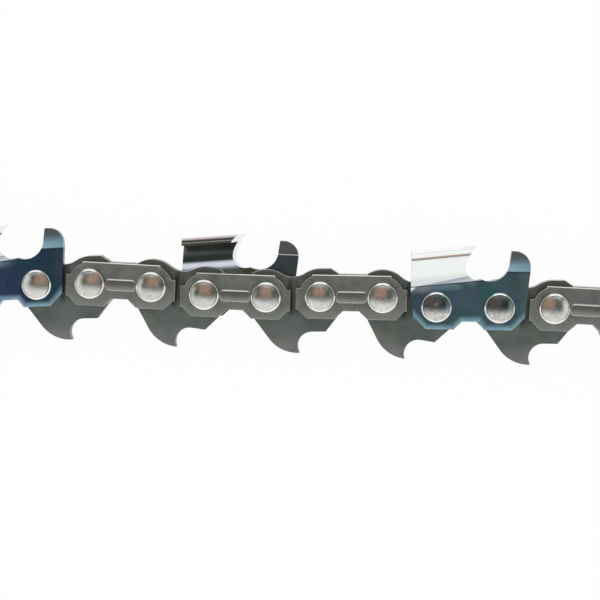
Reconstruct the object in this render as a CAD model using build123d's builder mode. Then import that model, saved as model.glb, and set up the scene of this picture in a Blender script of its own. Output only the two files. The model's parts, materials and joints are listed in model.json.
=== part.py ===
from build123d import *
from math import acos, atan2, cos, degrees, hypot, radians, sin, tan
import os

# A closed loop of saw chain, lying flat on its side, in millimetres.
# Drive links with tangs take turns with pairs of side plates. At each pivot a stepped rivet holds the
# two plates and carries the drive link. Every second pair has a cutter in place of one plate, on the
# right-hand side and on the left-hand side by turns.
# A link is drawn with its two rivets on X, the outside of the loop towards +Y and the cutting direction
# towards +X. The middle plane of the chain is Z = 0 until the links are laid out.

# Chain
drive_links = 28  # an even number
plate_pitch = 9.98  # between the two rivets of a plate
drive_pitch = 8.66  # between the two holes of a drive link

# Thicknesses and clearances across the chain
drive_gauge = 1.3
plate_thick = 1.2
side_play = 0.06  # between a drive link and each plate
hub_play = 0.06  # between a rivet's hub and the drive link's hole
fit_gap = 0.02  # between a rivet and the plates that it holds
plate_gap = 0.90  # between the ends of two plates along a drive link
drive_gap = 1.14  # between the ends of two drive links along a plate

# Rivet
hub_radius = 2.0
shank_radius = 1.6
head_radius = 2.48
head_height = 0.85
head_edge = 0.15  # straight edge at the foot of the head
head_rim = 0.45  # width of the sloping rim
dome_rise = 0.25  # rise of the gently domed face inside the rim

# Tie strap
plate_top = 3.52  # edge above the rivet line
plate_low = 3.56  # edge below the rivet line
tab_length = 0.43  # the end tab, beyond the round corner
tab_low = 2.12
tab_step = 0.38
foot_length = 2.1  # the lower edge, beyond the rivet
corner_from = 22.0  # the round corner about the rivet, in degrees
corner_to = 66.5
notch_half = 2.64
notch_floor_half = 1.26
notch_depth = 1.29
bar_gap = 0.04  # between the raised bar and each rivet head
bar_width = 1.85
bar_corner = 0.7
bar_raise = 0.25

# Drive link
saddle_depth = 1.28  # below the top of the humps
shoulder_flat = 1.75  # level top in front of the front hump
shoulder_run = 1.8
shoulder_drop = 1.2
nose_high = 30.0  # the round front end about the front hole, in degrees
nose_low = -21.0
heel_depth = 5.77
heel_ahead = 0.77  # the heel's corner, in front of the front hole
heel_flat = 2.26
tang_depth = 9.2
tang_radius = 5.7
tang_ahead = 0.54  # centre of the tang's round edge, in front of the link's middle
tip_angle = -87.0  # where that edge ends in the tip
tail_angle = 185.0  # where the tail leaves the rear hump

# Cutter
chamfer_rear = 2.0
chamfer_front = 1.95
front_ahead = 0.12  # the front edge, beyond a tie strap's end
front_lean = 0.75  # the front edge leans this much from its foot to the crease
back_behind = 0.22  # the foot of the back edge, short of a tie strap's end
back_lean = 0.42  # the back edge leans this much from its foot to the crease
notch_skew = 0.4  # the notch of a cutter lies further forward than a tie strap's
crease_back = 3.1  # bend of the side plate, at the back edge
plate_rise = 6.2  # the side plate and top plate rise towards the tip, in degrees
side_lean = 18.0  # the side plate leans outwards, in degrees
top_back = 8.8  # the top plate at the back edge
top_overhang = 0.6  # the top plate reaches this far past the chain's middle plane
corner_inside = 0.15
crease_inside = 0.5
lap = 0.9  # flat stretch of the bent sheet below its crease
side_front = 2.1  # front end of the side plate, from the link's middle
grind_radius = 2.23  # the ground front, below its hollowest place
hook_radius = 3.9  # and above that, up to the tip
grind_ahead = 1.56
grind_height = 6.6
grind_angle = 18.0  # the cutting edges slant across the chain, in degrees
gullet_radius = 3.17
gullet_ahead = 3.37
gullet_height = 7.36
gauge_crease = 5.73
gauge_top = 9.0
gauge_back = 6.78
gauge_bulge = 0.2
gauge_round = 2.45
gauge_bend = 8.0  # the depth gauge leans in over the chain, in degrees
gauge_inside = 6.8  # on the inside the lean starts this high

# Lie of the loop: how far the chain turns inwards at each pivot of a run, in degrees
run_turns = [1.6, 4.4, 5.0, -5.8, -3.0, 1.7, 8.6, -8.9, -0.1, 2.4]
first_heading = 5.5

# Places worked out from the sizes above
plate_half = plate_pitch / 2
drive_half = drive_pitch / 2
plate_in = drive_gauge / 2 + side_play
plate_out = plate_in + plate_thick
plate_reach = (drive_pitch - plate_gap) / 2
hump_radius = (plate_pitch - drive_gap) / 2
rivet_places = [(-plate_half, 0), (plate_half, 0)]
hole_places = [(-drive_half, 0), (drive_half, 0)]
shank_hole = shank_radius + fit_gap


def polar(center, radius, angle):
    """The point at an angle in degrees on a circle."""
    return (center[0] + radius * cos(radians(angle)), center[1] + radius * sin(radians(angle)))


# Rivet: hub, shanks and two spun heads
hub_half = plate_in - fit_gap
head_seat = plate_out + fit_gap
head_end = head_seat + head_height
with BuildPart() as rivet:
    with BuildSketch(Plane.XZ):
        with BuildLine():
            dome = TangentArc(
                (0, head_end), (head_radius - head_rim, head_end - dome_rise), tangent=(1, 0)
            )
            Polyline(
                dome @ 1,
                (head_radius, head_seat + head_edge),
                (head_radius, head_seat),
                (shank_radius, head_seat),
                (shank_radius, hub_half),
                (hub_radius, hub_half),
                (hub_radius, 0),
                (0, 0),
                dome @ 0,
            )
        make_face()
    revolve(axis=Axis.Z)
    mirror(about=Plane.XY)

# Tie strap, on the right-hand side of the chain
corner_radius = plate_reach - tab_length
end_x = plate_half + plate_reach
notch_y = notch_depth - plate_low
with BuildPart() as tie_strap:
    with BuildSketch(Plane.XY.offset(plate_in)):
        with BuildLine():
            corner = CenterArc((plate_half, 0), corner_radius, corner_from, corner_to - corner_from)
            Polyline((0, plate_top), ((corner @ 1).X, plate_top), corner @ 1)
            Polyline(
                corner @ 0,
                (end_x, (corner @ 0).Y),
                (end_x, -tab_low),
                (end_x - tab_step, -tab_low),
                (plate_half + foot_length, -plate_low),
                (notch_half, -plate_low),
                (notch_floor_half, notch_y),
                (0, notch_y),
            )
            mirror(about=Plane.YZ)
        make_face()
        with Locations(*rivet_places):
            Circle(shank_hole, mode=Mode.SUBTRACT)
    extrude(amount=plate_thick)
    with BuildSketch(Plane.XY.offset(plate_out)):
        RectangleRounded(plate_pitch - 2 * (head_radius + bar_gap), bar_width, bar_corner)
    extrude(amount=bar_raise)

# Drive link: the saddle is tangent to both humps, and the tail is tangent to the tang's round edge
saddle_floor = hump_radius - saddle_depth
saddle_radius = (drive_half**2 + saddle_floor**2 - hump_radius**2) / (2 * saddle_depth)
saddle_center = (0, saddle_floor + saddle_radius)
hump_end = degrees(atan2(saddle_center[1], drive_half))
tail = polar(hole_places[0], hump_radius, tail_angle)
tang_center = (tang_ahead, tang_radius - tang_depth)
tail_distance = hypot(tail[0] - tang_center[0], tail[1] - tang_center[1])
tail_bearing = degrees(atan2(tail[1] - tang_center[1], tail[0] - tang_center[0]))
tang_start = tail_bearing + degrees(acos(tang_radius / tail_distance))
heel_x = drive_half + heel_ahead
with BuildPart() as drive_link:
    with BuildSketch(Plane.XY.offset(-drive_gauge / 2)):
        with BuildLine():
            rear_hump = CenterArc(hole_places[0], hump_radius, hump_end, tail_angle - hump_end)
            front_hump = CenterArc(hole_places[1], hump_radius, 90, 90 - hump_end)
            CenterArc(saddle_center, saddle_radius, 180 + hump_end, 180 - 2 * hump_end)
            tang = CenterArc(tang_center, tang_radius, tang_start, 360 + tip_angle - tang_start)
            Line(rear_hump @ 1, tang @ 0)
            scoop = TangentArc((heel_x - heel_flat, -heel_depth), tang @ 1, tangent=(-1, 0))
            nose = CenterArc(hole_places[1], hump_radius, nose_low, nose_high - nose_low)
            Polyline(scoop @ 0, (heel_x, -heel_depth), nose @ 0)
            shoulder_x = drive_half + shoulder_flat
            Polyline(
                nose @ 1,
                (shoulder_x + shoulder_run, hump_radius - shoulder_drop),
                (shoulder_x, hump_radius),
                front_hump @ 0,
            )
        make_face()
        with Locations(*hole_places):
            Circle(hub_radius + hub_play, mode=Mode.SUBTRACT)
    extrude(amount=drive_gauge)

# Side plate and top plate of a cutter: one bent sheet that rises towards the tip, ground across its front
back_foot_x = back_behind - end_x
back_x = back_foot_x - back_lean
rise = tan(radians(plate_rise))
side_length = side_front - back_x
corner_bend = corner_inside + plate_thick
side_top = plate_out + (top_back - crease_back) * tan(radians(side_lean))
with BuildPart() as cutting_plate:
    with BuildSketch(Plane.YZ.offset(back_x)):
        with BuildLine():
            FilletPolyline(
                (crease_back - lap, plate_out),
                (crease_back, plate_out),
                (top_back, side_top),
                (top_back, -top_overhang),
                radius=[crease_inside, corner_bend],
            )
            offset(amount=plate_thick, side=Side.RIGHT)
        make_face()
    extrude(amount=side_length * hypot(1, rise), dir=(1, rise, 0))
    grind_across = (cos(radians(grind_angle)), 0, -sin(radians(grind_angle)))
    grind_axis = (sin(radians(grind_angle)), 0, cos(radians(grind_angle)))
    with BuildSketch(Plane((grind_ahead, grind_height, plate_out), x_dir=grind_across, z_dir=grind_axis)):
        with BuildLine():
            hollow = CenterArc((0, 0), grind_radius, 180, 180)
            hook = CenterArc((hook_radius - grind_radius, 0), hook_radius, 90, 90)
            Polyline(
                hook @ 0,
                hollow @ 1 + (plate_half, hook_radius),
                hollow @ 1 + (plate_half, 0),
                hollow @ 1,
            )
        make_face()
    extrude(amount=2 * plate_pitch, both=True, mode=Mode.SUBTRACT)

# Depth gauge of a cutter: the outline of its side, kept only inside its pressed section
front_x = end_x + front_ahead
crease_x = front_x + front_lean
gullet_center = (gullet_ahead, gullet_height)
gullet_rise = degrees(acos((gullet_height - gauge_crease) / gullet_radius))
gullet_start = 180 + degrees(acos((gullet_ahead - side_front) / gullet_radius))
gauge_slope = tan(radians(gauge_bend))
with BuildPart() as depth_gauge:
    with BuildSketch() as gauge:
        with BuildLine():
            gauge_foot = CenterArc(gullet_center, gullet_radius, gullet_rise - 90, 90 - gullet_rise)
            Polyline(
                gauge_foot @ 1,
                (gauge_back, gauge_top),
                (crease_x + gauge_bulge, gauge_top),
                (crease_x, gauge_crease),
                gauge_foot @ 0,
            )
        make_face()
        fillet(gauge.vertices().group_by(Axis.Y)[-1].sort_by(Axis.X)[-1], radius=gauge_round)
    extrude(amount=plate_out)
    with BuildSketch(Plane.YZ):
        Polygon(
            (gauge_crease, plate_in),
            (gauge_inside, plate_in),
            (gauge_top, plate_in - (gauge_top - gauge_inside) * gauge_slope),
            (gauge_top, plate_out - (gauge_top - gauge_crease) * gauge_slope),
            (gauge_crease, plate_out),
            align=None,
        )
    extrude(amount=plate_pitch, mode=Mode.INTERSECT)

# Right-hand cutter: flat body, bent side plate and top plate, and depth gauge
body_lap = lap / 2
body_back_y = crease_back - body_lap
body_front_y = body_back_y + side_length * rise
with BuildPart() as right_cutter:
    with BuildSketch(Plane.XY.offset(plate_in)):
        with BuildLine():
            gullet = CenterArc(gullet_center, gullet_radius, gullet_start, 270 + gullet_rise - gullet_start)
            Polyline(
                gullet @ 1,
                (crease_x, gauge_crease),
                (front_x, chamfer_front - plate_low),
                (front_x - chamfer_front, -plate_low),
                (notch_half, -plate_low),
                (notch_skew + notch_floor_half, notch_y),
                (notch_skew - notch_floor_half, notch_y),
                (notch_skew - notch_half, -plate_low),
                (back_foot_x + chamfer_rear, -plate_low),
                (back_foot_x, chamfer_rear - plate_low),
                (back_x, body_back_y),
                (side_front, body_front_y),
                gullet @ 0,
            )
        make_face()
        with Locations(*rivet_places):
            Circle(shank_hole, mode=Mode.SUBTRACT)
    extrude(amount=plate_thick)
    add(depth_gauge.part)
    add(cutting_plate.part)

# Links of the three kinds: two plates and two rivets that move as one, each a piece of its own
with BuildPart() as tie_link:
    add(tie_strap.part)
    mirror(tie_strap.part, about=Plane.XY)
    with Locations(*rivet_places):
        add(rivet.part)

with BuildPart() as right_cutter_link:
    add(right_cutter.part)
    mirror(tie_strap.part, about=Plane.XY)
    with Locations(*rivet_places):
        add(rivet.part)

with BuildPart() as left_cutter_link:
    mirror(right_cutter.part, about=Plane.XY)
    add(tie_strap.part)
    with Locations(*rivet_places):
        add(rivet.part)

# Lie of the loop: two like halves, each a run and a bend that turns what is left of half a turn
bend_count = drive_links - len(run_turns)
bend_turn = (180 - sum(run_turns)) / bend_count
half_turns = run_turns + [bend_turn] * bend_count
pivots = [(0, 0)]
headings = []
heading = first_heading
for turn in half_turns * 2:
    length = drive_pitch if len(headings) % 2 else plate_pitch
    headings.append(heading)
    pivots.append(polar(pivots[-1], length, heading))
    heading -= turn
opposite = pivots[drive_links]
loop_center = (opposite[0] / 2, opposite[1] / 2)

# The chain lies on the outer corners of its left-hand cutters
mid_height = right_cutter.part.bounding_box().max.Z
pair_kinds = [
    ("right_cutter_link", right_cutter_link),
    ("tie_link", tie_link),
    ("left_cutter_link", left_cutter_link),
    ("tie_link", tie_link),
]
os.makedirs("parts", exist_ok=True)
for i, heading in enumerate(headings):
    kind, link = pair_kinds[i // 2 % 4] if i % 2 == 0 else ("drive_link", drive_link)
    x = (pivots[i][0] + pivots[i + 1][0]) / 2 - loop_center[0]
    y = (pivots[i][1] + pivots[i + 1][1]) / 2 - loop_center[1]
    placed = link.part.moved(Location((x, y, mid_height), (0, 0, heading)))
    placed.label = f"{kind}_{i // 2 + 1:02d}"
    export_step(placed, f"parts/{placed.label}.step")
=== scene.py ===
# %% [markdown]
# # A loop of saw chain, lying on its side
#
# The chain is made of four kinds of stamped or turned steel pieces: drive links with a tang, tie straps,
# cutters with a bent side plate and top plate, and stepped rivets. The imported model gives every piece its
# place and its outline. Here each kind gets the broken edges, the spun rivet heads and the finishes that
# the real pieces have, and then it is set on every link of the loop.
#
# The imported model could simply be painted, but a stamped plate with knife-sharp edges never looks like
# steel: it is the small broken edge that catches the light. So every plate is copied, its edges are
# broken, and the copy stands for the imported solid.

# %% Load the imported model
import json
import math
import bmesh
import bpy
from mathutils import Matrix, Vector

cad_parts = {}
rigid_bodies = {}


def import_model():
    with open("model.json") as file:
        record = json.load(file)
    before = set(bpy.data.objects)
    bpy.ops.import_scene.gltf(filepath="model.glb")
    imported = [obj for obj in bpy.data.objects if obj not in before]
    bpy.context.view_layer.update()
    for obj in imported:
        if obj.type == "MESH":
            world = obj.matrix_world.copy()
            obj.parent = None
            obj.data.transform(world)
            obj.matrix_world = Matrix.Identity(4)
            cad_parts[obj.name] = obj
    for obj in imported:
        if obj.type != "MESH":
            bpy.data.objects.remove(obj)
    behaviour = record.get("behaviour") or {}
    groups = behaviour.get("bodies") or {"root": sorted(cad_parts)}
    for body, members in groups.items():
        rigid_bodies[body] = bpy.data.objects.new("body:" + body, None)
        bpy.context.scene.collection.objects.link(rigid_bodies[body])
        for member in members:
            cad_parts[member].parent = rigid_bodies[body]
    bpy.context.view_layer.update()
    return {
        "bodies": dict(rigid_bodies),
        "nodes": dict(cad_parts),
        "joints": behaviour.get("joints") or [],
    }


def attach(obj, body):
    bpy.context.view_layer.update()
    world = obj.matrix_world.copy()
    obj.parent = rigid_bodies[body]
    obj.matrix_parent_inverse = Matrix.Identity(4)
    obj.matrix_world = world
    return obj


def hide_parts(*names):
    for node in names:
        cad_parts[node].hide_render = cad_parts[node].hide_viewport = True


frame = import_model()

MM = 0.001
scene = bpy.context.scene
scene.view_settings.view_transform = "Standard"

# %% [markdown]
# ## Camera
#
# The photograph looks almost straight down on one run of the chain, from a hand's breadth away, so the
# loop leaves the picture on both sides. A camera can be placed by eye, or worked out from points that are
# known in both places. Here the ten rivet heads that show give the target, the tilt and the lens.

# %% Camera
camera_target = Vector((-1.412, 54.506, 3.25)) * MM
camera_distance = 220 * MM
camera_lift = math.radians(5.3)  # from straight above towards the outside of the loop
camera_yaw = math.radians(3.15)
camera_roll = math.radians(-2.424)
camera_lens = 81.79
sensor_width = 36.0
nearest_seen = 10 * MM

back = Vector((
    math.sin(camera_yaw) * math.cos(camera_lift),
    math.sin(camera_lift),
    math.cos(camera_yaw) * math.cos(camera_lift),
))
level = Vector((math.sin(camera_roll), math.cos(camera_roll), 0)).cross(back).normalized()
camera_axes = Matrix((level, back.cross(level), back)).transposed()
camera_data = bpy.data.cameras.new("camera")
camera_data.lens = camera_lens
camera_data.sensor_width = sensor_width
camera_data.clip_start = nearest_seen
camera = bpy.data.objects.new("camera", camera_data)
camera.matrix_world = Matrix.Translation(camera_target + back * camera_distance) @ camera_axes.to_4x4()
scene.collection.objects.link(camera)
scene.camera = camera
print("camera at, in mm:", [round(value / MM, 1) for value in camera.location])

# %% [markdown]
# ## Where each link lies
#
# Each link has two pivots, and the frame's joints give their places. One pivot of the loop is left open
# in the model, and because the loop is two like halves, it lies opposite to its twin. From two pivots
# follows a link's own set of axes: the middle of the link is the origin, X points the way the chain cuts,
# Y points out of the loop and Z is straight up. Every piece is made once in such axes and then set on all
# its links.

# %% Pivots and link axes
pivots = {}
for joint in frame["joints"]:
    pivots[int(joint["name"].split("_")[1])] = Vector(joint["pos_m"])
pivot_count = len(frame["bodies"])
half_count = pivot_count // 2
for number in range(1, pivot_count + 1):
    if number not in pivots:
        twin = pivots[number - half_count if number > half_count else number + half_count]
        pivots[number] = Vector((-twin.x, -twin.y, twin.z))
pivots[0] = pivots[pivot_count]


def link_axes(body):
    """The matrix from a link's own axes to the frame."""
    pair = int(body[-2:])
    first = 2 * pair - 1 if body.startswith("drive") else 2 * pair - 2
    along = (pivots[first + 1] - pivots[first]).normalized()
    middle = (pivots[first] + pivots[first + 1]) / 2
    turn = Matrix((along, Vector((-along.y, along.x, 0)), Vector((0, 0, 1)))).transposed()
    return Matrix.Translation(middle) @ turn.to_4x4()


# %% [markdown]
# ## Copying a link's solids
#
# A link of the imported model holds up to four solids: two plates and two rivets. The mesh of such a node
# is copied into the link's own axes, its doubled points are welded, its flat faces are freed of triangle
# edges, and its loose solids are taken apart. The outlines could also be drawn a second time here, but a
# copy can't drift away from the model that the parts are cut to.

# %% Copy and take apart
weld_distance = 0.001 * MM
flat_angle = math.radians(0.5)


def loose_solids(node):
    """The solids of a node in its link's own axes, each a list of points and a list of faces."""
    whole = bmesh.new()
    whole.from_mesh(frame["nodes"][node].data)
    whole.transform(link_axes(node).inverted())
    bmesh.ops.remove_doubles(whole, verts=whole.verts, dist=weld_distance)
    bmesh.ops.dissolve_limit(whole, angle_limit=flat_angle, verts=whole.verts, edges=whole.edges)
    met = set()
    solids = []
    for start in whole.verts:
        if start in met:
            continue
        met.add(start)
        reached = [start]
        for vert in reached:
            for edge in vert.link_edges:
                other = edge.other_vert(vert)
                if other not in met:
                    met.add(other)
                    reached.append(other)
        place = {vert: number for number, vert in enumerate(reached)}
        faces = dict.fromkeys(face for vert in reached for face in vert.link_faces)
        solids.append((
            [vert.co.copy() for vert in reached],
            [[place[vert] for vert in face.verts] for face in faces],
        ))
    whole.free()
    return solids


def reach(solid, axis):
    """The lowest and highest place of a solid along an axis, in mm."""
    places = [point[axis] / MM for point in solid[0]]
    return min(places), max(places)


tie_solids = loose_solids("tie_link_02")
right_solids = loose_solids("right_cutter_link_01")
left_solids = loose_solids("left_cutter_link_03")
drive_solids = loose_solids("drive_link_01")
print("solids:", [len(found) for found in (tie_solids, right_solids, left_solids, drive_solids)])

# %% [markdown]
# ## Broken edges
#
# No stamped edge is knife sharp: tumbling breaks it, and the narrow round catches the light as a thin
# bright line. A bevel modifier with a weight on each edge does this, so an edge that is rubbed more can
# be rounder than its neighbours. A wide bevel all round would look softer still, but it would eat into
# the outline, so the wide roll of the feet is left to the finish.

# %% Mark the edges to break
bevel_angle = math.radians(24)
crease_angle = math.radians(23)
full_share = 1.0
medium_share = 0.7
narrow_share = 0.35


def marked_mesh(name, solid, share, zone):
    """A solid as a mesh. share gives an edge's part of the bevel's width, zone a face's finish number."""
    sheet = bmesh.new()
    verts = [sheet.verts.new(point) for point in solid[0]]
    for face in solid[1]:
        sheet.faces.new([verts[number] for number in face])
    bmesh.ops.recalc_face_normals(sheet, faces=sheet.faces)
    for face in sheet.faces:
        face.smooth = True
        if zone:
            face.material_index = zone(face.calc_center_median() / MM, face.normal)
    weight = sheet.edges.layers.float.new("bevel_weight_edge")
    for edge in sheet.edges:
        bend = edge.calc_face_angle(0)
        edge.smooth = bend < crease_angle
        if bend > bevel_angle:
            edge[weight] = share((edge.verts[0].co + edge.verts[1].co) / (2 * MM))
    mesh = bpy.data.meshes.new(name + "_sharp")
    sheet.to_mesh(mesh)
    sheet.free()
    return mesh


print("edges are broken from", round(math.degrees(bevel_angle)), "degrees on")

# %% [markdown]
# ## Applying the bevel
#
# The bevel is applied at once, because the finished mesh is shared by all the links. Hardened normals
# keep the flat faces flat beside the narrow rounds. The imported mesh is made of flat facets, and on a
# polished bend each facet shows as a step in the reflection, so where the true direction of a round face
# is known, it is set on the mesh as a custom normal. Finer facets would do the same at the cost of many
# more triangles.

# %% Break the edges
bevel_width = 0.2
bevel_segments = 3


def set_normals(mesh, true_normal):
    """Gives the round faces of a mesh their true direction."""
    normals = [corner.vector.copy() for corner in mesh.corner_normals]
    for face in mesh.polygons:
        for corner in face.loop_indices:
            place = mesh.vertices[mesh.loops[corner].vertex_index].co / MM
            normals[corner] = true_normal(place, face.normal) or normals[corner]
    mesh.normals_split_custom_set(normals)


def broken_edges(name, solid, share, zone=None, true_normal=None):
    """A mesh with broken edges; true_normal gives the direction of a round face at one of its points."""
    sharp = marked_mesh(name, solid, share, zone)
    blank = bpy.data.objects.new(name + "_blank", sharp)
    scene.collection.objects.link(blank)
    edges = blank.modifiers.new("edges", "BEVEL")
    edges.width = bevel_width * MM
    edges.segments = bevel_segments
    edges.limit_method = "WEIGHT"
    edges.harden_normals = True
    evaluated = blank.evaluated_get(bpy.context.evaluated_depsgraph_get())
    made = bpy.data.meshes.new_from_object(evaluated)
    made.name = name
    bpy.data.objects.remove(blank)
    bpy.data.meshes.remove(sharp)
    if true_normal:
        set_normals(made, true_normal)
    print(name, len(made.polygons), "faces")
    return made


print("bevel:", bevel_width, "mm in", bevel_segments, "segments")

# %% [markdown]
# ## Tie straps and drive links
#
# Both are flat stampings. The strap has a raised bar between its rivets, which the press leaves rounder
# than the cut outline, and its upper edge slides on the wood, so these get a wider round. So do the drive
# link's humps, which run past the plates.

# %% Straps and drive links
plate_out = 1.91
bar_proud = 0.1
strap_top = 3.2
hump_foot = 1.8
plate_rear = -8


def strap_share(middle):
    """Widest along the upper edge, medium on the raised bar, narrow elsewhere."""
    if middle.y > strap_top:
        return full_share
    return medium_share if abs(middle.z) > plate_out + bar_proud else narrow_share


def drive_share(middle):
    """Medium on the humps and the saddle between them, narrow elsewhere."""
    return medium_share if middle.y > hump_foot else narrow_share


plates = [solid for solid in tie_solids if reach(solid, 0)[0] < plate_rear]
upper_strap = next(solid for solid in plates if reach(solid, 2)[0] > 0)
lower_strap = next(solid for solid in plates if reach(solid, 2)[0] < 0)
upper_strap_mesh = broken_edges("upper_strap", upper_strap, strap_share)
lower_strap_mesh = broken_edges("lower_strap", lower_strap, strap_share)
drive_mesh = broken_edges("drive_link", drive_solids[0], drive_share)

# %% [markdown]
# ## Cutters: four zones
#
# A cutter starts as a flat plate. Its rear half is bent twice, outwards at a crease and then over the
# chain, which gives the side plate and the top plate, and the round gullet in front of them is ground,
# which leaves the cutting edges. The plate is blued, the outside of the bent part is chromed, the inside
# stays dark, and the ground edge is bare. The zones could be painted by hand, but a face's place and
# direction already say which of the four it is.

# %% Zones of a cutter
crease_rear = Vector((-9.07, 3.10))
crease_rise = math.tan(math.radians(6.2))
side_plate_front = 2.5
bend_start = 0.15
ground_back = -0.8
turned = 0.15  # this and the next three are limits of a face's direction
steep = 0.6
rearward = -0.2
downward = -0.3
BLUED, CHROMED, DARK_INSIDE, GROUND = range(4)


def above_crease(place):
    """How far a point of the side plate or top plate is above the crease, in mm."""
    return place.y - crease_rear.y - (place.x - crease_rear.x) * crease_rise


def cutter_zone(side):
    """The finish of a cutter's face; side is 1 for a cutter on the upper side and -1 on the lower."""
    def zone(middle, normal):
        outward = normal.z * side
        bent = above_crease(middle) > bend_start and middle.x < side_plate_front
        at_front = middle.x > ground_back and abs(outward) < steep and normal.x > rearward
        if bent and at_front:
            return GROUND
        if bent and (outward > turned or normal.y > steep):
            return CHROMED
        if outward < -turned or (bent and normal.y < downward):
            return DARK_INSIDE
        return BLUED
    return zone


print("zones:", BLUED, "blued,", CHROMED, "chromed,", DARK_INSIDE, "dark inside,", GROUND, "ground")

# %% [markdown]
# ## Cutters: edges and the polished bend
#
# The free edge of the top plate is rolled widest, because it drags along the wood, and the front of the
# depth gauge is rounded as well. The bend between side plate and top plate is a plain cylinder, whose
# middle and radius are known, so its true normals are worked out from them. They give the chrome one even
# reflection.

# %% Cutters
top_plate_foot = 8.6
top_plate_reach = 1.0
gauge_front = 7.5
corner_center = Vector((4.35, 1.904))  # of the bend: above the crease, and up from the chain's middle
corner_radius = 1.35
side_lean = math.radians(18)
down_side = Vector((-math.cos(side_lean), -math.sin(side_lean)))
arc_slack = 0.01
round_slack = 0.02
alike = 0.85


def cutter_share(middle):
    """Widest along the free edge of the top plate, medium at the gauge's front, narrow elsewhere."""
    over_chain = abs(middle.z) < top_plate_reach and middle.x < top_plate_reach
    if over_chain and middle.y > top_plate_foot:
        return full_share
    return medium_share if middle.x > gauge_front and middle.y > 0 else narrow_share


def corner_normal(side):
    """The true direction of the bend's round outside, or None beside it."""
    def true_normal(place, normal):
        out = Vector((above_crease(place), place.z * side)) - corner_center
        radial = Vector((-crease_rise * out.x, out.x, out.y * side)).normalized()
        in_arc = out.y > -arc_slack and out.dot(down_side) < arc_slack
        on_round = abs(out.length - corner_radius) < round_slack and radial.dot(normal) > alike
        return radial if in_arc and on_round else None
    return true_normal


def cutter_mesh(name, solids, side):
    """The cutter of a link: the solid that stands out furthest."""
    cutter = max(solids, key=lambda solid: reach(solid, 1)[1])
    return broken_edges(name, cutter, cutter_share, cutter_zone(side), corner_normal(side))


right_cutter_mesh = cutter_mesh("right_cutter", right_solids, 1)
left_cutter_mesh = cutter_mesh("left_cutter", left_solids, -1)

# %% [markdown]
# ## Rivets
#
# The rivet is turned with a thick hub in the middle, pushed through the links, and its ends are spun into
# round heads. It is a body of revolution, so its half outline is drawn once and spun round the pivot. The
# outline could be a screw modifier on a curve, but spinning it in mesh code gives the closed mesh
# directly.

# %% Outline of a rivet
hub_radius = 2.0
hub_half = 0.69
shank_radius = 1.6
head_seat = 1.93
head_radius = 2.48
head_height = 0.85
head_edge = 0.15
head_foot_cut = 0.04
head_rim = 0.36
dome_rise = 0.25
rim_steps = 6
dome_steps = 7


def head_outline():
    """The half outline of a head, from its foot over the round rim to the middle of the dome, in mm."""
    outline = [(shank_radius, head_seat), (head_radius - head_foot_cut, head_seat)]
    rim_foot = head_seat + head_edge
    rim_rise = head_height - head_edge - dome_rise
    for step in range(rim_steps):
        angle = math.pi / 2 * step / rim_steps
        outline.append((
            head_radius - head_rim + head_rim * math.cos(angle),
            rim_foot + rim_rise * math.sin(angle),
        ))
    for step in range(dome_steps):
        share = step / dome_steps
        radius = (head_radius - head_rim) * (1 - share)
        outline.append((radius, head_seat + head_height - dome_rise * (1 - share) ** 2))
    return outline


upper_outline = [(hub_radius, 0), (hub_radius, hub_half), (shank_radius, hub_half)] + head_outline()
lower_outline = [(radius, -height) for radius, height in reversed(upper_outline[1:])]
rivet_outline = lower_outline + upper_outline
print(len(rivet_outline), "points on a rivet's outline")

# %% [markdown]
# ## Spinning the outline
#
# Each point of the outline becomes a ring, neighbouring rings are joined by faces, and a fan of triangles
# closes each end. Only the corners of the hub and of the head's foot stay sharp.

# %% Spin a rivet
rivet_steps = 48
rivet_crease = math.radians(40)


def spun_rivet(outline):
    """A closed rivet round Z."""
    turned_part = bmesh.new()
    rings = []
    for radius, height in outline:
        ring = []
        for step in range(rivet_steps):
            angle = 2 * math.pi * step / rivet_steps
            point = Vector((radius * math.cos(angle), radius * math.sin(angle), height)) * MM
            ring.append(turned_part.verts.new(point))
        rings.append(ring)
    tips = [turned_part.verts.new((0, 0, end * (head_seat + head_height) * MM)) for end in (-1, 1)]
    for step in range(rivet_steps):
        ahead = (step + 1) % rivet_steps
        for below, over in zip(rings, rings[1:]):
            turned_part.faces.new((below[step], below[ahead], over[ahead], over[step]))
        for ring, tip in ((rings[0], tips[0]), (rings[-1], tips[1])):
            turned_part.faces.new((ring[step], ring[ahead], tip))
    bmesh.ops.recalc_face_normals(turned_part, faces=turned_part.faces)
    for face in turned_part.faces:
        face.smooth = True
    for edge in turned_part.edges:
        edge.smooth = edge.calc_face_angle(0) < rivet_crease
    mesh = bpy.data.meshes.new("rivet")
    turned_part.to_mesh(mesh)
    turned_part.free()
    print("rivet", len(mesh.polygons), "faces")
    return mesh


rivet_mesh = spun_rivet(rivet_outline)

# %% [markdown]
# ## Writing a finish with nodes
#
# Every finish is a small net of nodes. Four helpers keep that readable: one adds a node and sets or
# connects its sockets, one does a step of arithmetic, one turns a value that runs between two limits into
# a smooth step from 0 to 1, and one mixes two colours. The nodes could be dragged together by hand in the
# editor, but then nobody could read here what they do.

# %% Helpers for nodes


def fill(tree, socket, value):
    """Sets a socket to a plain value, or connects it to the output of another node."""
    if isinstance(value, bpy.types.NodeSocket):
        tree.links.new(value, socket)
    else:
        socket.default_value = value


def add(tree, kind, sockets=None, **settings):
    """Adds a node with its settings and sockets."""
    made = tree.nodes.new(kind)
    for name, value in settings.items():
        setattr(made, name, value)
    for socket, value in (sockets or {}).items():
        fill(tree, made.inputs[socket], value)
    return made


def maths(tree, operation, first, second=0.0):
    """One step of arithmetic."""
    return add(tree, "ShaderNodeMath", {0: first, 1: second}, operation=operation).outputs[0]


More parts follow.
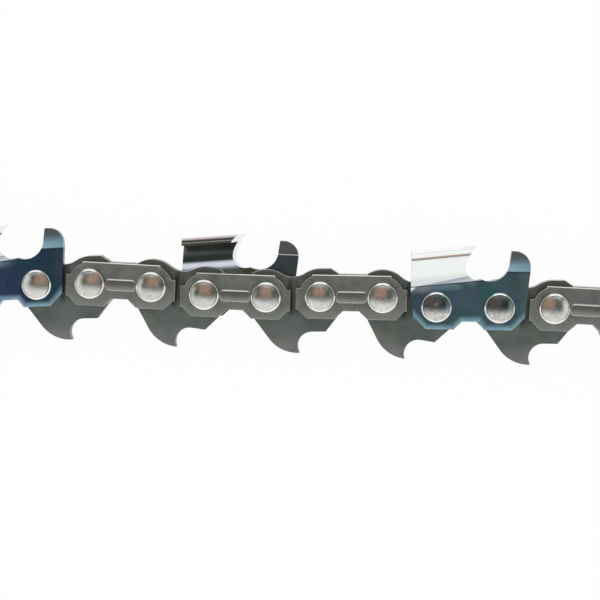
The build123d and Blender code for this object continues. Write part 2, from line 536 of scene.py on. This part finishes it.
def step_between(tree, value, start, end):
    """A smooth step: 0 at start, 1 at end."""
    limits = {"Value": value, "From Min": start, "From Max": end}
    return add(tree, "ShaderNodeMapRange", limits, interpolation_type="SMOOTHSTEP").outputs["Result"]


def shade(colour):
    """A colour for a socket, if it isn't an output already."""
    return colour if isinstance(colour, bpy.types.NodeSocket) else (*colour, 1.0)


def blend(tree, share, first, second):
    """Two colours mixed by a share."""
    mix = add(tree, "ShaderNodeMix", data_type="RGBA")
    for socket, value in ((0, share), (6, shade(first)), (7, shade(second))):
        fill(tree, mix.inputs[socket], value)
    return mix.outputs[2]


print("helpers:", ", ".join(helper.__name__ for helper in (add, maths, step_between, blend)))

# %% [markdown]
# ## Places and shares
#
# A layer of a finish has to know where it is: how far from an edge, above a crease or out on a hump.
# Image textures with a UV map would do, but every piece here is made in axes of its own, so its object
# coordinates in mm say it directly. The share of the broken edges comes from the mesh's direction, which
# is neither flat nor upright there. Clouds are drawn in four dimensions, with a number of the piece's own
# as the fourth, so that no two links look alike.

# %% Places on a piece
edge_from_face = (0.97, 0.8)
edge_from_side = (0.03, 0.25)
own_spread = 60.0


class Net:
    """The nodes of one material, with places on the piece in mm and the share of its broken edges."""

    def __init__(self, name):
        self.material = bpy.data.materials.new(name)
        self.material.use_nodes = True
        self.tree = self.material.node_tree
        coordinates = add(self.tree, "ShaderNodeTexCoord")
        self.place = coordinates.outputs["Object"]
        in_mm = add(self.tree, "ShaderNodeVectorMath", {0: self.place, "Scale": 1 / MM}, operation="SCALE")
        self.x, self.y, self.z = add(self.tree, "ShaderNodeSeparateXYZ", {0: in_mm.outputs[0]}).outputs
        facing = add(self.tree, "ShaderNodeSeparateXYZ", {0: coordinates.outputs["Normal"]})
        flat = self.maths("ABSOLUTE", facing.outputs[2])
        self.edge = self.both(self.step(flat, *edge_from_face), self.step(flat, *edge_from_side))
        chance = add(self.tree, "ShaderNodeObjectInfo").outputs["Random"]
        self.own = self.maths("MULTIPLY", chance, own_spread)

    def maths(self, operation, first, second=0.0):
        """One step of arithmetic."""
        return maths(self.tree, operation, first, second)

    def step(self, value, start, end):
        """A smooth step from 0 at start to 1 at end."""
        return step_between(self.tree, value, start, end)

    def both(self, *shares):
        """Shares multiplied with each other."""
        whole = shares[0]
        for share in shares[1:]:
            whole = self.maths("MULTIPLY", whole, share)
        return whole

    def noise(self, size, detail):
        """Clouds of a size in mm, different on every piece."""
        sockets = {"Vector": self.place, "W": self.own, "Scale": 1 / (size * MM), "Detail": detail}
        return add(self.tree, "ShaderNodeTexNoise", sockets, noise_dimensions="4D").outputs[0]

    def beyond(self, first, second):
        """How far a place is to the left of the line from one point to another, in mm."""
        run, rise = second[0] - first[0], second[1] - first[1]
        length = math.hypot(run, rise)
        across = self.maths("MULTIPLY", self.maths("SUBTRACT", self.x, first[0]), -rise / length)
        up = self.maths("MULTIPLY", self.maths("SUBTRACT", self.y, first[1]), run / length)
        return self.maths("ADD", across, up)

    def from_edge(self, corners, notch):
        """How far a place is from the lower outline of a plate, which has a notch in the middle, in mm."""
        nearest = self.beyond(notch[0], notch[1])
        for first, second in zip(notch[1:], notch[2:]):
            nearest = self.maths("MAXIMUM", nearest, self.beyond(first, second))
        for first, second in zip(corners, corners[1:]):
            nearest = self.maths("MINIMUM", nearest, self.beyond(first, second))
        return nearest


print("each piece's clouds are shifted by up to", own_spread)

# %% [markdown]
# ## Steel
#
# All pieces are steel, and differ in tint, gloss and grain. The base of every finish is the same: a slow
# cloudy change of tint, a fine speckle, a roughness that follows the speckle, and a fine bump. A finish
# is then built up in layers, each a colour laid over the last by one or more shares between 0 and 1.
# Where the real plate curves too softly for a bevel, the bump is raised towards the edge as well, so that
# the light rolls off.

# %% Steel finish
grain_detail = 3.0
cloud_detail = 4.0
middle_range = (0.3, 0.7)  # where most of a cloud's values lie


class Steel(Net):
    """A steel with clouds of tint and a fine grain. Sizes and the bump's height are in mm."""

    def __init__(self, name, dark, light, rough, cloud_size, grain_size, bump_height):
        super().__init__(name)
        self.shader = self.tree.nodes["Principled BSDF"]
        self.shader.inputs["Metallic"].default_value = 1.0
        clouds = self.step(self.noise(cloud_size, cloud_detail), *middle_range)
        self.show(blend(self.tree, clouds, dark, light))
        grain = self.noise(grain_size, grain_detail)
        limits = dict(zip(("From Min", "From Max", "To Min", "To Max"), middle_range + rough))
        gloss = add(self.tree, "ShaderNodeMapRange", {"Value": grain, **limits})
        fill(self.tree, self.shader.inputs["Roughness"], gloss.outputs["Result"])
        self.relief = self.maths("MULTIPLY", grain, bump_height)
        heights = {"Height": self.relief, "Strength": 1.0, "Distance": MM}
        self.bump = add(self.tree, "ShaderNodeBump", heights)
        fill(self.tree, self.shader.inputs["Normal"], self.bump.outputs[0])

    def show(self, colour):
        """Makes a colour the outermost."""
        self.colour = colour
        fill(self.tree, self.shader.inputs["Base Color"], colour)

    def lay(self, colour, *shares):
        """Lays a colour over the finish, by shares that are multiplied with each other."""
        self.show(blend(self.tree, self.both(*shares), self.colour, colour))

    def roll(self, distance, width, height):
        """Curves the surface towards an edge, over a width, until it is raised by a height; all in mm."""
        limits = {"Value": distance, "From Min": width, "From Max": 0.0}
        near = add(self.tree, "ShaderNodeMapRange", limits).outputs["Result"]
        self.relief = self.maths("ADD", self.relief, self.both(near, near, height))
        fill(self.tree, self.bump.inputs["Height"], self.relief)


print("the grain has", grain_detail, "steps of detail and the clouds", cloud_detail)

# %% [markdown]
# ## Straps: tumbled steel
#
# Straps are tumbled and left with a dark oxide. Tumbling rolls the lower outline, and the feet are painted
# lighter than the middle as a painted sheen of that roll. The raised bar gets a painted highlight along its
# upper edge, painted shade below that and a painted lighter sheen at its lower edge. The broken edges are
# painted lighter, partly bare steel and partly a painted highlight, and the strap's own upper edge gets a
# thin painted highlight.

# %% Finish of straps
strap_low = 3.56
strap_foot = 7.09
strap_tab = (8.49, -2.12)
notch_half = 2.64
notch_floor_half = 1.26
notch_y = -2.27
bar_half = 0.92
bar_rise = (plate_out + 0.05, plate_out + 0.12)
strap_outline = [(-strap_tab[0], strap_tab[1]), (-strap_foot, -strap_low)]
strap_outline += [(strap_foot, -strap_low), strap_tab]
strap_notch = [(-notch_half, -strap_low), (-notch_floor_half, notch_y)]
strap_notch += [(notch_floor_half, notch_y), (notch_half, -strap_low)]

strap_steel = Steel(
    "strap_steel", dark=(0.172, 0.192, 0.182), light=(0.24, 0.26, 0.245), rough=(0.34, 0.44),
    cloud_size=1.8, grain_size=0.2, bump_height=0.002)
strap_steel.roll(strap_steel.from_edge(strap_outline, strap_notch), width=0.5, height=-0.012)
# Painted light: the feet are painted lighter than the middle, a painted sheen of the rolled lower outline.
painted_feet_sheen = strap_steel.step(strap_steel.y, -0.8, -3.4)
strap_steel.lay((0.40, 0.42, 0.40), painted_feet_sheen, 0.4)
on_bar = strap_steel.step(strap_steel.maths("ABSOLUTE", strap_steel.z), *bar_rise)
# Painted shade on the upper part of the bar.
bar_shade = strap_steel.step(strap_steel.y, -0.5, 0.7)
strap_steel.lay((0.14, 0.146, 0.14), on_bar, bar_shade)
# Painted highlight along the bar's upper edge.
bar_top_highlight = strap_steel.step(strap_steel.y, bar_half - 0.22, bar_half - 0.12)
strap_steel.lay((0.95, 0.90, 0.86), on_bar, bar_top_highlight)
# Painted light: the bar is painted lighter towards its lower edge.
bar_lower_sheen = strap_steel.step(strap_steel.y, 0.1, -bar_half)
strap_steel.lay((0.5, 0.52, 0.5), on_bar, bar_lower_sheen, 0.6)
# The broken edges are painted lighter: partly bare steel, partly a painted highlight.
strap_steel.lay((0.80, 0.78, 0.75), strap_steel.edge, 0.8)
# Painted highlight: a thin bright line along the strap's upper edge.
top_edge_highlight = strap_steel.step(strap_steel.y, strap_top, strap_top + 0.1)
strap_steel.lay((0.95, 0.86, 0.83), strap_steel.edge, top_edge_highlight)
print("strap finish:", len(strap_steel.tree.nodes), "nodes")

# %% [markdown]
# ## Drive links: tumbled steel with painted shade in the gaps
#
# The drive link has the straps' oxide, a little darker, with slow brownish clouds. It is lighter towards
# the tang's tip and darker on the humps. Between two plates it gets painted shade, most of it a painted
# shadow behind the end of the plate in front, and that dark gap sets the links off from each other. A
# lamp's shadow can't be relied on for this, because the light is soft from all round. The broken edges are
# painted lighter, partly bare steel and partly a painted highlight, brightest on the humps.

# %% Finish of drive links
drive_steel = Steel(
    "drive_link_steel", dark=(0.125, 0.155, 0.145), light=(0.175, 0.21, 0.195), rough=(0.34, 0.44),
    cloud_size=2.4, grain_size=0.2, bump_height=0.002)
brown_clouds = drive_steel.step(drive_steel.noise(5.0, 2.0), 0.5, 0.72)
drive_steel.lay((0.27, 0.25, 0.20), brown_clouds, 0.4)
# Lighter towards the tang's tip.
lighter_tang = drive_steel.step(drive_steel.y, -5.0, -9.0)
drive_steel.lay((0.42, 0.42, 0.43), lighter_tang, 0.35)
dark_humps = drive_steel.step(drive_steel.y, 1.0, 4.2)
drive_steel.lay((0.13, 0.125, 0.115), dark_humps, 0.6)
# Painted shade between two plates, darkest as a painted shadow just behind the end of the plate in front.
gap_shadow_colour = (0.03, 0.036, 0.033)
in_gap = drive_steel.step(drive_steel.maths("ABSOLUTE", drive_steel.x), 1.1, 0.6)
beside_tabs = drive_steel.step(drive_steel.maths("ABSOLUTE", drive_steel.y), 3.6, 1.8)
shaded_gap = drive_steel.both(in_gap, beside_tabs)
shadow_behind_plate = drive_steel.step(drive_steel.x, 0.0, -0.3)
drive_steel.lay(gap_shadow_colour, shaded_gap, 0.4)
drive_steel.lay(gap_shadow_colour, shaded_gap, shadow_behind_plate, 0.65)
# The broken edges are painted lighter: partly bare steel, partly a painted highlight, brightest on the
# humps.
drive_steel.lay((0.75, 0.74, 0.72), drive_steel.edge, 0.7)
hump_edge_highlight = drive_steel.step(drive_steel.y, 1.6, 2.0)
drive_steel.lay((0.95, 0.92, 0.90), drive_steel.edge, hump_edge_highlight)
print("drive link finish:", len(drive_steel.tree.nodes), "nodes")

# %% [markdown]
# ## Cutters: blued by heat
#
# The body is blued in an oven, and the heat is never even, so the blue drifts to teal and to violet, and
# turns pale and straw-coloured just below the bend, where the steel was worked. The feet are rolled, and a
# lighter, uneven blue is painted along them as a painted sheen. The depth gauge bends back from a crease of
# its own and is painted lighter towards its foot as painted light, and at the rear corner the chrome runs
# down over the body. The crease lines could be modelled as grooves, but they are a tenth of a millimetre
# wide, so a dark line of painted shade does it. The broken edges are painted lighter, partly bare steel and
# partly a painted highlight.

# %% Marks on a cutter
cutter_feet = [(-8.65, -1.56), (-6.65, -3.56), (7.04, -3.56), (8.99, -1.61)]
cutter_notch = [(-2.24, -3.56), (-0.86, -2.27), (1.66, -2.27), (2.64, -3.56)]
crease_line = [tuple(crease_rear), (crease_rear.x + 10, crease_rear.y + 10 * crease_rise)]
chromed_corner = [(-8.95, 2.45), (-8.0, 3.25)]
chrome_grey = (0.84, 0.873, 0.859)
gauge_crease = 5.73
gauge_back = 4.6
gauge_top = 9.0
off_gauge = 9.0  # moves the gauge's bend out of reach beside the gauge


def shape_bends(steel, on_gauge):
    """Rolls a blued plate at its gauge's bend and at its chromed rear corner."""
    above = steel.maths("SUBTRACT", steel.y, gauge_crease)
    away = steel.maths("SUBTRACT", above, off_gauge)
    beside = steel.maths("MULTIPLY", away, steel.maths("SUBTRACT", on_gauge, 1.0))
    steel.roll(steel.maths("ADD", above, beside), width=2.2, height=0.14)
    into_corner = steel.beyond(*chromed_corner)
    steel.roll(steel.maths("SUBTRACT", 0.6, into_corner), width=0.6, height=0.15)
    steel.lay(chrome_grey, steel.step(into_corner, -0.05, 0.05))


def paint_crease_shade(steel, below_bend, at_gauge):
    """Painted shade: dark lines along the crease of the side plate and along that of the gauge."""
    beside_side_plate = steel.step(steel.x, side_plate_front + 0.1, side_plate_front - 0.2)
    # Painted shade along the crease of the side plate, then along that of the gauge.
    steel.lay((0.06, 0.07, 0.08), steel.step(below_bend, -0.16, -0.06), beside_side_plate, 0.85)
    line_start = steel.step(steel.y, gauge_crease - 0.2, gauge_crease - 0.08)
    line_end = steel.step(steel.y, gauge_crease + 0.02, gauge_crease)
    steel.lay((0.05, 0.06, 0.07), at_gauge, line_start, line_end, 0.85)


print("gauge crease at", gauge_crease, "mm, side plate's crease from", crease_line[0])

# %% [markdown]
# ## Two heats of bluing
#
# No batch comes out of the oven alike: some cutters are slate blue with teal and violet clouds, others a
# deep navy. One function makes both, from different tints.

# %% Blued finish


def blued_finish(name, dark, light, teal, violet, front_share):
    """Blued plate with a painted sheen along its rolled feet, other tints near the bend, painted light on
    the gauge.
    """
    blued = Steel(
        name, dark, light, rough=(0.26, 0.30), cloud_size=3.0, grain_size=0.5, bump_height=0.0004)
    from_foot = blued.from_edge(cutter_feet, cutter_notch)
    blued.roll(from_foot, width=1.1, height=-0.06)
    tint = blued.noise(3.2, 2.0)
    blued.lay(teal, blued.step(tint, 0.50, 0.62), 0.9)
    blued.lay(violet, blued.step(tint, 0.48, 0.36), 0.9)
    blued.lay((0.04, 0.10, 0.13), blued.step(blued.x, -1.0, -6.0), 0.4)
    # Painted sheen: a lighter, uneven blue band along the rolled feet.
    blued.lay((0.34, 0.53, 0.61), blued.step(from_foot, 1.1, 0.1), 0.8)
    uneven = blued.step(blued.noise(1.3, 3.0), 0.46, 0.62)
    blued.lay((0.13, 0.29, 0.42), blued.step(from_foot, 0.9, 0.35), uneven, 0.55)
    blued.lay((0.20, 0.30, 0.34), blued.step(blued.x, 7.4, 8.9), front_share)
    below_bend = blued.beyond(*crease_line)
    near_bend = blued.both(blued.step(below_bend, -1.5, -0.2), blued.step(blued.x, 2.5, -1.0))
    pale_clouds = blued.step(blued.noise(2.2, 2.0), 0.25, 0.55)
    blued.lay((0.25, 0.38, 0.48), near_bend, pale_clouds, 0.85)
    straw_end = blued.both(blued.step(blued.x, -8.4, -7.4), blued.step(blued.x, -5.4, -6.6))
    blued.lay((0.46, 0.44, 0.39), near_bend, straw_end, 0.5)
    at_gauge = blued.step(blued.x, gauge_back, gauge_back + 0.3)
    on_gauge = blued.both(at_gauge, blued.step(blued.y, gauge_crease, gauge_crease + 0.1))
    blued.lay((0.15, 0.19, 0.20), on_gauge, 0.9)
    # Painted light: the gauge is painted lighter towards its foot.
    lit_gauge_foot = blued.step(blued.y, gauge_top - 0.6, gauge_crease + 0.6)
    blued.lay((0.27, 0.45, 0.56), on_gauge, lit_gauge_foot, 0.9)
    shape_bends(blued, on_gauge)
    paint_crease_shade(blued, below_bend, at_gauge)
    # The broken edges are painted lighter: partly bare steel, partly a painted highlight.
    blued.lay((0.70, 0.74, 0.78), blued.edge, 0.8)
    print(name, "finish:", len(blued.tree.nodes), "nodes")
    return blued


blued = blued_finish(
    "blued_steel", dark=(0.07, 0.15, 0.185), light=(0.11, 0.20, 0.245),
    teal=(0.055, 0.19, 0.185), violet=(0.105, 0.165, 0.275), front_share=0.5)
deep_blued = blued_finish(
    "deep_blued_steel", dark=(0.035, 0.075, 0.14), light=(0.055, 0.10, 0.18),
    teal=(0.03, 0.10, 0.14), violet=(0.045, 0.07, 0.17), front_share=0.1)

# %% [markdown]
# ## Cutters: chrome
#
# Hard chrome covers the outside of the side plate and the top plate, so that the edge stays sharp. It
# thins out towards the crease and leaves a blue-grey wedge there, which grows towards the front. The top
# plate is painted whiter than the side plate, as a painted reflection. The chrome's gloss does the rest: a
# smooth metal shows the white round it, and the bend shows the dark patch as one thin line.

# %% Chromed finish
wedge_rear = -8.4
wedge_slope = 0.113

chrome = Steel(
    "chromed_plate", dark=chrome_grey, light=(0.869, 0.902, 0.887), rough=(0.10, 0.16),
    cloud_size=4.0, grain_size=0.4, bump_height=0.0004)
above_bend = chrome.beyond(*crease_line)
# Painted reflection: the top plate is painted whiter than the side plate.
top_plate_sheen = chrome.step(above_bend, 4.7, 5.1)
chrome.lay((0.95, 0.955, 0.955), top_plate_sheen)
thin_chrome = chrome.step(above_bend, 2.0, 0.4)
chrome.lay((0.55, 0.59, 0.60), thin_chrome, 0.6)
wedge_top = chrome.maths("MULTIPLY", chrome.maths("SUBTRACT", chrome.x, wedge_rear), wedge_slope)
into_wedge = chrome.maths("SUBTRACT", wedge_top, above_bend)
chrome.lay((0.34, 0.39, 0.45), chrome.step(into_wedge, -0.06, 0.06))
chrome.lay((0.60, 0.65, 0.66), chrome.step(into_wedge, 0.1, 0.8), 0.8)
print("chrome finish:", len(chrome.tree.nodes), "nodes")

# %% [markdown]
# ## Cutters: dark inside
#
# The inside of the cutter keeps a black oxide, painted darker still above the crease as painted shade. A
# painted highlight runs as a bright band along the crease, with a painted blue reflection below it, and the
# free edge of the top plate gets a painted highlight with a thin painted line of light below it. These
# bands could come from reflections alone, but the inside faces away from the light, so they are laid on.

# %% Finish of a cutter's inside
free_edge = 5.7
gauge_inside = 6.8

inside = Steel(
    "dark_inside", dark=(0.10, 0.115, 0.105), light=(0.14, 0.155, 0.145), rough=(0.22, 0.30),
    cloud_size=3.0, grain_size=0.3, bump_height=0.001)
above_inside = inside.beyond(*crease_line)
# Painted shade: the inside is painted darker above the crease.
inside.lay((0.025, 0.035, 0.032), inside.step(above_inside, 3.6, 2.3), inside.step(above_inside, 1.2, 1.6))
under_side = inside.step(inside.x, 1.5, -1.0)
# Painted highlight along the crease.
crease_highlight = inside.both(inside.step(above_inside, 1.8, 1.2), inside.step(above_inside, 0.2, 0.9))
inside.lay((0.66, 0.70, 0.78), crease_highlight, under_side)
# Painted blue reflection below the highlight.
crease_blue_reflection = inside.both(inside.step(above_inside, 0.7, 0.2), inside.step(above_inside, -1.6, -0.4))
inside.lay((0.22, 0.29, 0.34), crease_blue_reflection, under_side, 0.7)
inside.lay((0.10, 0.135, 0.125), inside.step(above_inside, free_edge - 0.9, free_edge - 0.8))
# Painted highlight: a thin line of light below the free edge.
line_foot = inside.step(above_inside, free_edge - 0.95, free_edge - 0.87)
line_top = inside.step(above_inside, free_edge - 0.73, free_edge - 0.81)
inside.lay((0.55, 0.60, 0.57), line_foot, line_top)
from_free_edge = inside.maths("SUBTRACT", free_edge, above_inside)
inside.roll(from_free_edge, width=0.55, height=-0.12)
# Painted highlight along the rounded free edge of the top plate.
inside.lay((0.66, 0.62, 0.62), inside.step(from_free_edge, 0.55, 0.3))
print("inside finish so far:", len(inside.tree.nodes), "nodes")

# %% [markdown]
# ## Cutters: inside of the gauge, and the ground edge
#
# Seen from inside, the gauge is dark blue up to its crease and black above, with a painted highlight where
# the bend catches the light and painted highlights along its edges. The front of the cutter is ground, so
# it is bare steel with a fine grain.

# %% Gauge's inside and ground edge
behind_gauge = inside.step(inside.x, 4.3, 4.5)
inside.lay((0.08, 0.115, 0.135), behind_gauge, inside.step(inside.y, gauge_inside + 0.1, gauge_inside))
inside.lay((0.09, 0.09, 0.085), behind_gauge, inside.step(inside.y, gauge_inside, gauge_inside + 0.1))
# Painted highlight where the gauge's bend catches the light.
line_foot = inside.step(inside.y, gauge_inside - 0.09, gauge_inside - 0.02)
line_top = inside.step(inside.y, gauge_inside + 0.09, gauge_inside + 0.02)
inside.lay((0.95, 0.93, 0.95), line_foot, line_top, behind_gauge)
# Painted highlights along the gauge's edges.
inside.lay((0.90, 0.90, 0.92), inside.edge, behind_gauge)

ground = Steel(
    "ground_edge", dark=(0.78, 0.79, 0.80), light=(0.88, 0.89, 0.90), rough=(0.12, 0.25),
    cloud_size=2.0, grain_size=0.12, bump_height=0.002)
print("inside finish:", len(inside.tree.nodes), "nodes, ground finish:", len(ground.tree.nodes))

# %% [markdown]
# ## Rivets: nickel with specks
#
# Rivet heads are spun and tumbled, so they are bright with a slight unevenness, and dark specks of scale
# are left in their small pits. The spinning tool polishes the rim, and the rim is painted brighter still as
# a painted highlight, with painted shade on its upper sides, so that it is brightest at the top and below.
# A broken dark ring of painted shade lies where the dome meets the rim. On some cutters the heat has
# stained the heads too, with thin veins.

# %% Finish of rivets
dome_radius = head_radius - head_rim
ring_in = (dome_radius - 0.08, dome_radius)
ring_out = (dome_radius + 0.14, dome_radius + 0.06)


def rivet_finish(name, dark, light, stain):
    """Nickel with specks, a painted highlight and shade on the rim, a ring of painted shade. stain is the
    share of stains on the upper half and of veins.
    """
    nickel = Steel(
        name, dark, light, rough=(0.13, 0.20), cloud_size=1.2, grain_size=0.4, bump_height=0.004)
    upper_half = nickel.step(nickel.y, -1.5, 0.5)
    stains = nickel.step(nickel.noise(0.9, 4.0), 0.15, 0.48)
    nickel.lay((0.125, 0.18, 0.205), stains, upper_half, stain)
    from_middle = nickel.maths("ABSOLUTE", nickel.maths("SUBTRACT", nickel.noise(0.9, 3.0), 0.5))
    veins = nickel.step(from_middle, 0.05, 0.0)
    nickel.lay((0.27, 0.27, 0.25), veins, stain, 0.5)
    specks = nickel.step(nickel.noise(0.28, 2.0), 0.60, 0.72)
    nickel.lay((0.20, 0.19, 0.17), specks, 0.8)
    squares = nickel.maths("ADD", nickel.both(nickel.x, nickel.x), nickel.both(nickel.y, nickel.y))
    from_axis = nickel.maths("SQRT", squares)
    aside = nickel.maths("ABSOLUTE", nickel.x)
    # Painted highlight: the rim is painted brighter than the nickel.
    on_rim = nickel.step(from_axis, dome_radius, dome_radius + 0.06)
    nickel.lay((0.98, 0.97, 0.95), on_rim)
    # Painted shade on the rim's upper sides.
    nickel.lay((0.36, 0.36, 0.32), on_rim, nickel.step(nickel.y, 0.0, 0.5), nickel.step(aside, 0.7, 1.3))
    # Painted shade: a broken dark ring where the dome meets the rim.
    painted_ring_shade = nickel.both(nickel.step(from_axis, *ring_in), nickel.step(from_axis, *ring_out))
    broken_ring = nickel.both(nickel.step(aside, 0.9, 1.7), nickel.step(nickel.noise(1.6, 1.0), 0.3, 0.5))
    nickel.lay((0.10, 0.10, 0.08), painted_ring_shade, broken_ring, 0.85)
    print(name, "finish:", len(nickel.tree.nodes), "nodes")
    return nickel


rivet_steel = rivet_finish("rivet_nickel", (0.62, 0.61, 0.54), (0.72, 0.71, 0.69), stain=0.15)
stained_steel = rivet_finish("stained_nickel", (0.56, 0.56, 0.51), (0.72, 0.71, 0.69), stain=1.0)

# %% [markdown]
# ## Meshes with their finishes
#
# A finish belongs to a mesh, and a mesh is shared by all the pieces of its kind. The deeper blued cutter
# and the stained rivet have the same shapes as the others, so they are copies of those meshes with other
# finishes.

# %% Finishes on the meshes
cutter_finishes = [blued, chrome, inside, ground]
meshes = {
    "drive": (drive_mesh, [drive_steel], "drive_link_steel"),
    "upper_strap": (upper_strap_mesh, [strap_steel], "strap_steel"),
    "lower_strap": (lower_strap_mesh, [strap_steel], "strap_steel"),
    "right_cutter": (right_cutter_mesh, cutter_finishes, "cutter_steel"),
    "deep_right_cutter": (right_cutter_mesh.copy(), [deep_blued] + cutter_finishes[1:], "cutter_steel"),
    "left_cutter": (left_cutter_mesh, cutter_finishes, "cutter_steel"),
    "rivet": (rivet_mesh, [rivet_steel], "strap_steel"),
    "stained_rivet": (rivet_mesh.copy(), [stained_steel], "strap_steel"),
}
for mesh, finishes, _ in meshes.values():
    for finish in finishes:
        mesh.materials.append(finish.material)
print(len(bpy.data.materials), "finishes on", len(meshes), "meshes")

# %% [markdown]
# ## Setting the pieces on the links
#
# Each link gets its plates and rivets as separate pieces. A piece is placed by its link's axes, rides on
# the link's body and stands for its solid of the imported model. Every other right-hand cutter took more
# heat, and the ones between have stained rivets. The pieces could be instances of a collection, but each
# has to move with a body of its own.

# %% Place every piece
rivet_half_pitch = 4.99
deep_every = 8
deep_turn = 1
link_pieces = {
    "drive_link": ["drive"],
    "tie_link": ["upper_strap", "lower_strap"],
    "right_cutter_link": ["right_cutter", "lower_strap"],
    "left_cutter_link": ["upper_strap", "left_cutter"],
}


def set_piece(kind, name, axes, body):
    """One piece on one link."""
    mesh, _, slot = meshes[kind]
    piece = bpy.data.objects.new(name, mesh)
    scene.collection.objects.link(piece)
    piece.matrix_world = axes
    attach(piece, body)
    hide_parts(body)


for body in frame["bodies"]:
    axes = link_axes(body)
    kind, number = body[:-3], body[-2:]
    deep = kind == "right_cutter_link" and int(number) % deep_every == deep_turn
    stained = kind == "right_cutter_link" and not deep
    for piece_kind in link_pieces[kind]:
        mesh_kind = "deep_right_cutter" if deep and piece_kind == "right_cutter" else piece_kind
        set_piece(mesh_kind, f"{piece_kind}_{number}", axes, body)
    if kind != "drive_link":
        for end, side in (("rear", -1), ("front", 1)):
            shift = Matrix.Translation((side * rivet_half_pitch * MM, 0, 0))
            set_piece("stained_rivet" if stained else "rivet", f"rivet_{number}_{end}", axes @ shift, body)

# %% [markdown]
# ## Light
#
# Bright metal shows what is round it. A white tent, a little less bright near the ground, gives the
# bright edges and plates. A dark patch straight above, where a camera would be, gives the flat faces
# their depth, and a smaller brown one in it gives the rivets their warm spot. Softboxes would give the
# light alone, while these shapes are what the steel reflects. They are drawn in the world's own
# directions, so they stay where they are from every view, and their edges sway like folds of cloth.

# %% Directions of the sky
fold_size = 7.0
fold_detail = 3.0
fold_sway = math.radians(9)

world = bpy.data.worlds.new("white_tent")
scene.world = world
world.use_nodes = True
sky = world.node_tree
directions = add(sky, "ShaderNodeTexCoord").outputs["Generated"]
east, north, up = add(sky, "ShaderNodeSeparateXYZ", {0: directions}).outputs
fold_sockets = {"Vector": directions, "Scale": fold_size, "Detail": fold_detail}
folds = add(sky, "ShaderNodeTexNoise", fold_sockets).outputs[0]
sway = maths(sky, "MULTIPLY", maths(sky, "SUBTRACT", folds, 0.5), fold_sway)
tilt_x = maths(sky, "ADD", maths(sky, "ARCTAN2", east, up), sway)
tilt_y = maths(sky, "ADD", maths(sky, "ARCTAN2", north, up), sway)
print("the patches' edges sway by", round(math.degrees(fold_sway)), "degrees")

# %% [markdown]
# ## Patches of the sky
#
# A patch is four smooth steps multiplied with each other. The lower edge is softer than the others,
# because on a rivet's dome it lies across the middle, where the photograph shows a slow change from dark
# to bright.

# %% Patches of the sky
horizon = (0.8, 0.8, 0.81)
tent_white = (1.0, 1.0, 1.0)
dark_cloth = (0.10, 0.115, 0.105)
brown_cloth = (0.50, 0.33, 0.255)


def patch(x_middle, x_half, y_low, y_high, soft, soft_low):
    """1 inside a patch of the sky, with soft edges; all in degrees from straight above."""
    aside = maths(sky, "ABSOLUTE", maths(sky, "SUBTRACT", tilt_x, math.radians(x_middle)))
    sides = step_between(sky, aside, math.radians(x_half + soft), math.radians(x_half - soft))
    lower = step_between(sky, tilt_y, math.radians(y_low - soft_low), math.radians(y_low + soft_low))
    upper = step_between(sky, tilt_y, math.radians(y_high + soft), math.radians(y_high - soft))
    return maths(sky, "MULTIPLY", maths(sky, "MULTIPLY", sides, lower), upper)


dark_patch = patch(x_middle=-2, x_half=26, y_low=-11, y_high=18, soft=2.5, soft_low=9)
brown_patch = patch(x_middle=-4, x_half=12, y_low=-4, y_high=15, soft=3, soft_low=5)
sky_colour = blend(sky, step_between(sky, up, 0.0, 0.5), horizon, tent_white)
sky_colour = blend(sky, dark_patch, sky_colour, dark_cloth)
sky_colour = blend(sky, brown_patch, sky_colour, brown_cloth)
fill(sky, sky.nodes["Background"].inputs["Color"], sky_colour)
print("sky:", len(sky.nodes), "nodes")

# %% [markdown]
# ## Floor
#
# The chain lies on white paper. Plain matt paper would turn grey in the picture, so what the camera and
# the steel see of it is nearly all a plain white, and the small rest is the matt paper that keeps the
# shadow.

# %% Floor
floor_half = 3.0
paper_grey = (0.9, 0.9, 0.9)
white_part = 0.97

floor_mesh = bpy.data.meshes.new("floor")
floor_corners = [(-1, -1), (1, -1), (1, 1), (-1, 1)]
floor_mesh.from_pydata([(x * floor_half, y * floor_half, 0) for x, y in floor_corners], [], [(0, 1, 2, 3)])
floor = bpy.data.objects.new("floor", floor_mesh)
scene.collection.objects.link(floor)
paper = bpy.data.materials.new("white_paper")
paper.use_nodes = True
paper_tree = paper.node_tree
paper_tree.nodes.remove(paper_tree.nodes["Principled BSDF"])
rays = add(paper_tree, "ShaderNodeLightPath").outputs
seen = maths(paper_tree, "MAXIMUM", rays["Is Camera Ray"], rays["Is Glossy Ray"])
seen = maths(paper_tree, "MAXIMUM", seen, rays["Is Transmission Ray"])
white_share = maths(paper_tree, "MULTIPLY", seen, white_part)
matt = add(paper_tree, "ShaderNodeBsdfDiffuse", {"Color": shade(paper_grey)}).outputs[0]
white = add(paper_tree, "ShaderNodeEmission", {"Color": shade(tent_white), "Strength": 1.0}).outputs[0]
surface = add(paper_tree, "ShaderNodeMixShader", {0: white_share, 1: matt, 2: white}).outputs[0]
fill(paper_tree, paper_tree.nodes["Material Output"].inputs["Surface"], surface)
floor_mesh.materials.append(paper)
print("floor:", 2 * floor_half, "m wide")
